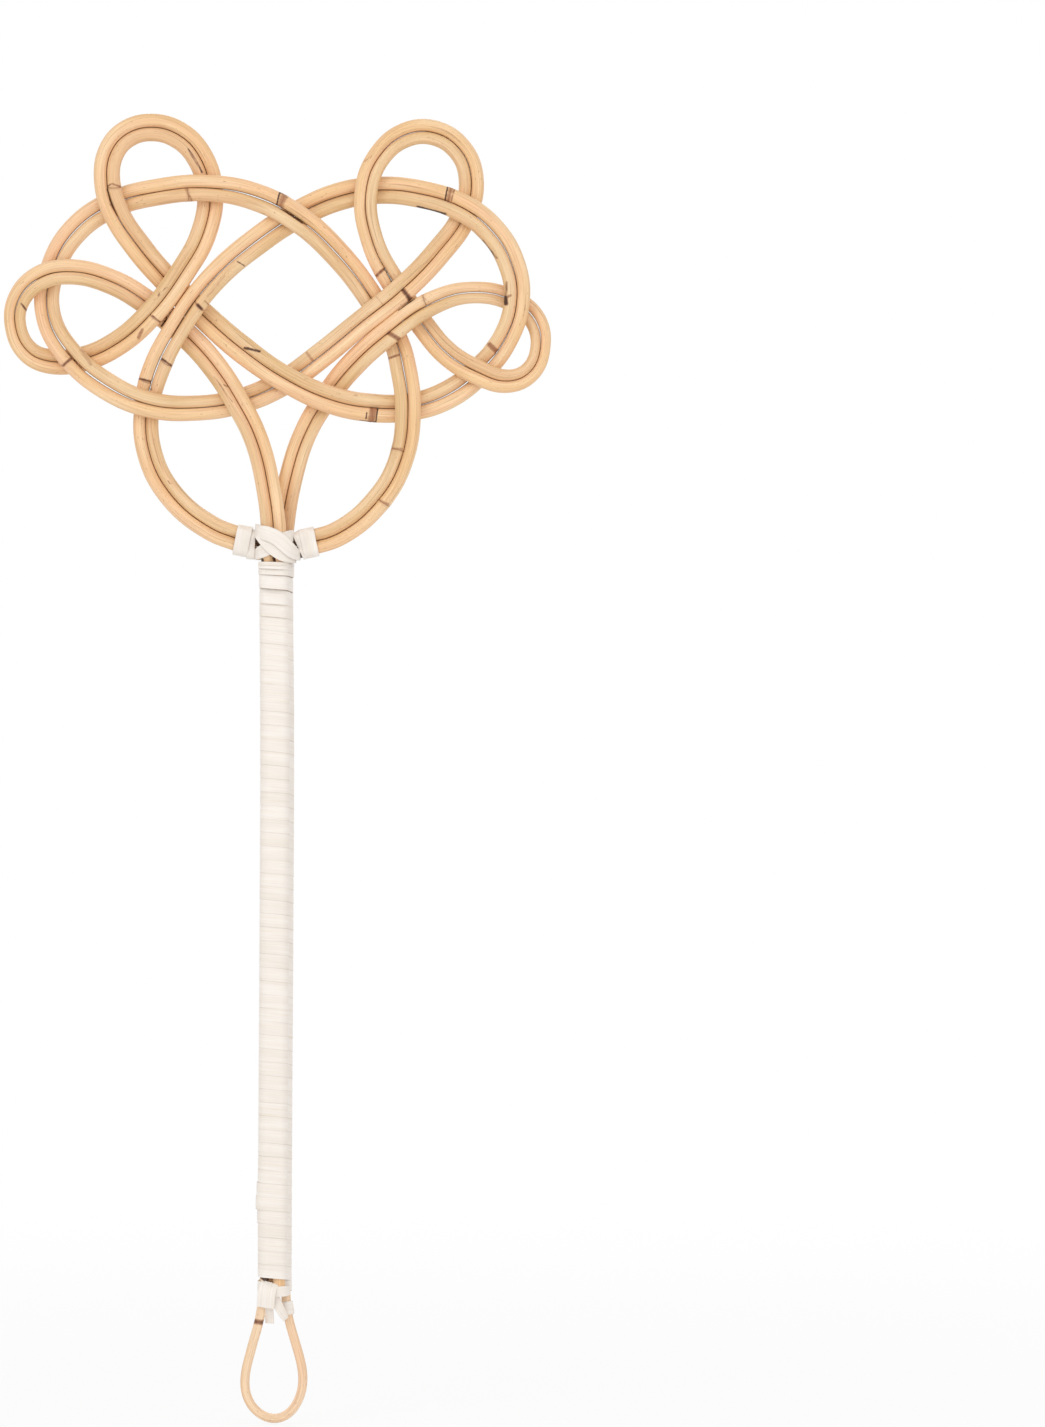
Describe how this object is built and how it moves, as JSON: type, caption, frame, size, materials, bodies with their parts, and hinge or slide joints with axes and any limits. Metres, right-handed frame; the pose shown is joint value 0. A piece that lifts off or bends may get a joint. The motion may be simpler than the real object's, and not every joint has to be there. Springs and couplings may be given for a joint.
{
  "type": "carpet beater",
  "caption": "Carpet beater woven from a double strand of cane into a flat knotted head, with a strip-bound straight handle and a small teardrop hanging loop.",
  "frame": {"origin": "middle of the bound grip, on the handle's axis", "axes": "+Z along the handle towards the woven head, +X across the flat head, and the front face looks along -Y"},
  "size_m": [0.2728, 0.0244, 0.6496],
  "materials": {
    "outer_cane": "satin",
    "inner_cane": "satin",
    "loop_cane": "satin",
    "strip": "satin"
  },
  "bodies": {
    "root": {"left_outer_cane": "outer_cane", "left_inner_cane": "inner_cane", "right_outer_cane": "outer_cane", "right_inner_cane": "inner_cane", "hanging_loop": "loop_cane", "grip_winding": "strip", "throat_binding": "strip", "left_collar": "strip", "right_collar": "strip", "falling_lashing": "strip", "rising_lashing": "strip", "base_binding": "strip"}
  },
  "joints": []
}
